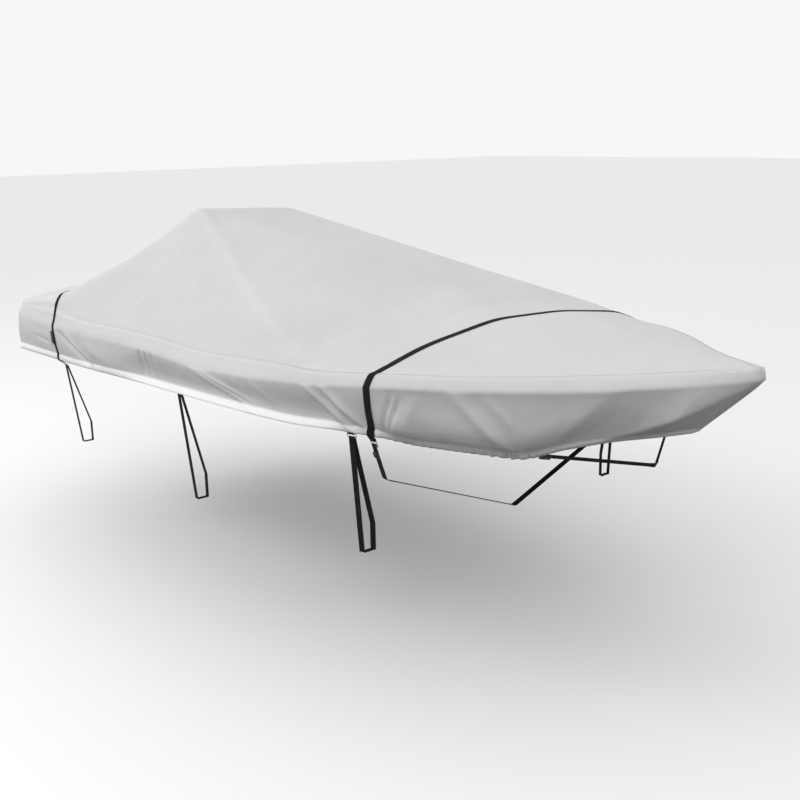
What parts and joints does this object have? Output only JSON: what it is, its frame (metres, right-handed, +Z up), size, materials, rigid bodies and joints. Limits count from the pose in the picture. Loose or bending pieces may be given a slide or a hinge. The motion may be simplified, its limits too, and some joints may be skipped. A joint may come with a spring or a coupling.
{
  "type": "boat cover",
  "caption": "Fitted grey fabric boat cover with a raised ridge to one side, a turned hem, and black webbing straps over and under it.",
  "frame": {"origin": "on the boat's centreline, 3 mm under the cloth beside the raised ridge, where the cover is held up", "axes": "+X to the bow, +Y to port, +Z up"},
  "size_m": [4.2756, 2.0148, 1.3349],
  "materials": {
    "cloth": "plain weave, matt",
    "webbing": "woven",
    "wire": "plated",
    "plastic": "moulded"
  },
  "bodies": {
    "root": {"top_panel": "cloth", "side_panel_starboard": "cloth", "side_panel_port": "cloth", "front_strap_over": "webbing", "front_strap_under": "webbing", "rear_strap_over": "webbing", "rear_strap_tail": "webbing", "bow_strap": "webbing", "hem_tab_starboard": "webbing", "hem_tab_port": "webbing", "tie_down_rear_starboard": "webbing", "tie_down_rear_port": "webbing", "tie_down_middle_starboard": "webbing", "tie_down_middle_port": "webbing", "tie_down_front_starboard": "webbing", "tie_down_front_port": "webbing", "front_ring_starboard": "wire", "front_ring_port": "wire", "rear_ring_starboard": "wire", "rear_ring_port": "wire", "tie_ring_starboard": "wire", "tie_ring_port": "wire", "front_slider_starboard": "plastic", "rear_buckle": "plastic", "bow_buckle_starboard": "plastic", "bow_buckle_port": "plastic"}
  },
  "joints": []
}
